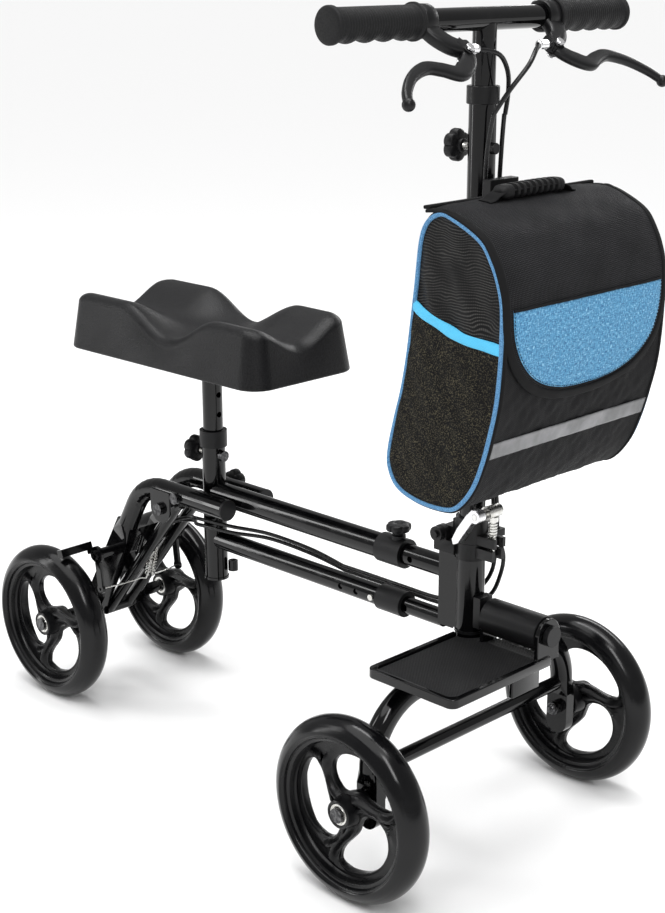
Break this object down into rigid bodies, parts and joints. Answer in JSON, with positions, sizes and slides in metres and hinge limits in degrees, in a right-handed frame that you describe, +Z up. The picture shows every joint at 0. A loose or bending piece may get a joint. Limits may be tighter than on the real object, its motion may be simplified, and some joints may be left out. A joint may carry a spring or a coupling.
{
  "type": "knee scooter",
  "caption": "Steerable knee scooter with a padded knee rest, folding steering column, hand brakes on the rear wheels, swing-up footrest and a front bag.",
  "frame": {"origin": "on the floor, under the middle of the scooter's length and width", "axes": "+X forward, the way it rolls; +Y to the rider's left; +Z up"},
  "size_m": [0.855, 0.42, 0.8765],
  "materials": {
    "black_enamel": "gloss black enamel on steel and aluminium tube",
    "black_plastic": "satin black moulded plastic",
    "zinc_hardware": "zinc plated bolts, springs and wires",
    "lever_metal": "plain cast aluminium lever",
    "solid_tyre": "smooth solid black tyre",
    "cable_sheath": "black cable sheath",
    "mat_rubber": "fine textured non-slip mat",
    "grip_rubber": "ribbed soft rubber",
    "pad_foam": "grained black skin over moulded foam",
    "bag_cloth": "black woven cloth with mesh side pockets",
    "bag_weave": "coarse black weave with a light blue panel"
  },
  "bodies": {
    "frame": {"main_tube_upper": "black_enamel", "main_tube_lower": "black_enamel", "seat_tube": "black_enamel", "side_tube_right": "black_enamel", "side_tube_left": "black_enamel", "rear_axle_tube": "black_enamel", "rear_brace": "black_enamel", "frame_brackets": "black_enamel", "frame_collars": "black_enamel", "end_caps": "black_plastic", "frame_bolts": "zinc_hardware", "rear_axle_hardware": "zinc_hardware", "cable_stops": "black_enamel", "brake_returns": "zinc_hardware", "brake_cables_rear": "cable_sheath"},
    "brake_arm_right": {"brake_arm_right": "black_enamel"},
    "brake_arm_left": {"brake_arm_left": "black_enamel"},
    "snap_button": {"snap_button": "zinc_hardware"},
    "length_knob": {"length_knob": "black_plastic"},
    "frame_knob": {"frame_knob": "black_plastic"},
    "seat_knob": {"seat_knob": "black_plastic"},
    "rear_wheel_right": {"rear_rim_right": "black_plastic", "rear_tyre_right": "solid_tyre"},
    "rear_wheel_left": {"rear_rim_left": "black_plastic", "rear_tyre_left": "solid_tyre"},
    "front_wheel_right": {"front_rim_right": "black_plastic", "front_tyre_right": "solid_tyre"},
    "front_wheel_left": {"front_rim_left": "black_plastic", "front_tyre_left": "solid_tyre"},
    "front_frame": {"inner_tube_upper": "black_enamel", "inner_tube_lower": "black_enamel", "head_tube": "black_enamel", "head_bushes": "black_plastic", "footrest_barrel": "black_enamel", "brake_cables_head": "cable_sheath"},
    "footrest": {"footplate": "black_plastic", "footplate_mat": "mat_rubber"},
    "steerer": {"steerer_tube": "black_enamel", "front_arch": "black_enamel", "front_cross_tube": "black_enamel", "head_casting": "black_enamel", "front_axle_hardware": "zinc_hardware"},
    "column": {"column_tube": "black_enamel", "column_fittings": "black_plastic", "fold_casting": "black_enamel", "latch_bolt": "zinc_hardware", "bag_body": "bag_cloth", "brake_cables_column": "cable_sheath"},
    "latch_lever": {"latch_lever": "lever_metal"},
    "bag_flap": {"bag_flap": "bag_weave"},
    "column_knob": {"column_knob": "black_plastic"},
    "stem": {"stem_tube": "black_enamel", "handlebar": "black_enamel", "grips": "grip_rubber", "lever_perches": "black_plastic", "brake_cables_upper": "cable_sheath"},
    "brake_lever_right": {"brake_lever_right": "black_plastic"},
    "brake_lever_left": {"brake_lever_left": "black_plastic"},
    "seat": {"seat_post": "black_enamel", "knee_pad": "pad_foam"}
  },
  "joints": [
    {"name": "frame_length", "type": "slide", "parent": "frame", "child": "front_frame", "axis": [1, 0, 0], "range_m": [-0.048, 0], "deforming": ["brake_cables_head"]},
    {"name": "length_button", "type": "slide", "parent": "frame", "child": "snap_button", "axis": [0, 1, 0], "range_m": [0, 0.0025], "stiffness_N_per_m": 600},
    {"name": "length_knob_turn", "type": "hinge", "parent": "frame", "child": "length_knob", "pos_m": [0.1855, 0, 0.325], "axis": [0, 0, 1], "range_deg": [0, 360]},
    {"name": "frame_knob_turn", "type": "hinge", "parent": "frame", "child": "frame_knob", "pos_m": [-0.1385, 0.052, 0.296], "axis": [0, 1, 0], "range_deg": [0, 360]},
    {"name": "seat_knob_turn", "type": "hinge", "parent": "frame", "child": "seat_knob", "pos_m": [-0.1495, 0, 0.348], "axis": [-1, 0, 0], "range_deg": [0, 360]},
    {"name": "seat_height", "type": "slide", "parent": "frame", "child": "seat", "axis": [0, 0, 1], "range_m": [-0.072, 0]},
    {"name": "rear_wheel_right_spin", "type": "hinge", "parent": "frame", "child": "rear_wheel_right", "pos_m": [-0.3275, -0.097, 0.1], "axis": [0, 1, 0], "continuous": true},
    {"name": "rear_wheel_left_spin", "type": "hinge", "parent": "frame", "child": "rear_wheel_left", "pos_m": [-0.3275, 0.097, 0.1], "axis": [0, 1, 0], "continuous": true},
    {"name": "brake_arm_right_turn", "type": "hinge", "parent": "frame", "child": "brake_arm_right", "pos_m": [-0.2725, -0.063, 0.195], "axis": [0, -1, 0], "range_deg": [0, 6.6], "stiffness_Nm_per_rad": 0.6, "deforming": ["brake_returns"]},
    {"name": "brake_arm_left_turn", "type": "hinge", "parent": "frame", "child": "brake_arm_left", "pos_m": [-0.2725, 0.063, 0.195], "axis": [0, -1, 0], "range_deg": [0, 6.6], "stiffness_Nm_per_rad": 0.6, "deforming": ["brake_returns"]},
    {"name": "steering", "type": "hinge", "parent": "front_frame", "child": "steerer", "pos_m": [0.2885, 0, 0.28], "axis": [0, 0, 1], "range_deg": [-30, 30], "deforming": ["brake_cables_head"]},
    {"name": "footrest_fold", "type": "hinge", "parent": "front_frame", "child": "footrest", "pos_m": [0.3525, 0, 0.262], "axis": [-1, 0, 0], "range_deg": [0, 78]},
    {"name": "front_wheel_right_spin", "type": "hinge", "parent": "steerer", "child": "front_wheel_right", "pos_m": [0.2955, -0.187, 0.1], "axis": [0, 1, 0], "continuous": true},
    {"name": "front_wheel_left_spin", "type": "hinge", "parent": "steerer", "child": "front_wheel_left", "pos_m": [0.2955, 0.187, 0.1], "axis": [0, 1, 0], "continuous": true},
    {"name": "column_fold", "type": "hinge", "parent": "steerer", "child": "column", "pos_m": [0.2615, 0, 0.345], "axis": [0, -1, 0], "range_deg": [0, 45], "deforming": ["brake_cables_column"]},
    {"name": "latch_lever_open", "type": "hinge", "parent": "column", "child": "latch_lever", "pos_m": [0.3165, -0.024, 0.377], "axis": [0, 1, 0], "range_deg": [0, 100]},
    {"name": "column_knob_turn", "type": "hinge", "parent": "column", "child": "column_knob", "pos_m": [0.2565, 0, 0.74], "axis": [-1, 0, 0], "range_deg": [0, 360]},
    {"name": "bag_flap_open", "type": "hinge", "parent": "column", "child": "bag_flap", "pos_m": [0.3265, 0, 0.699], "axis": [0, -1, 0], "range_deg": [0, 70]},
    {"name": "handlebar_height", "type": "slide", "parent": "column", "child": "stem", "axis": [0, 0, 1], "range_m": [-0.024, 0.072], "deforming": ["brake_cables_upper"]},
    {"name": "brake_lever_right_pull", "type": "hinge", "parent": "stem", "child": "brake_lever_right", "pos_m": [0.32221, -0.066, 0.83072], "axis": [-0.6428, 0, -0.766], "range_deg": [0, 20], "stiffness_Nm_per_rad": 2},
    {"name": "brake_lever_left_pull", "type": "hinge", "parent": "stem", "child": "brake_lever_left", "pos_m": [0.32221, 0.066, 0.83072], "axis": [0.6428, 0, 0.766], "range_deg": [0, 20], "stiffness_Nm_per_rad": 2}
  ],
  "couplings": [
    {"joint": "brake_arm_right_turn", "follows": "brake_lever_right_pull", "ratio": 0.33},
    {"joint": "brake_arm_left_turn", "follows": "brake_lever_left_pull", "ratio": 0.33}
  ]
}
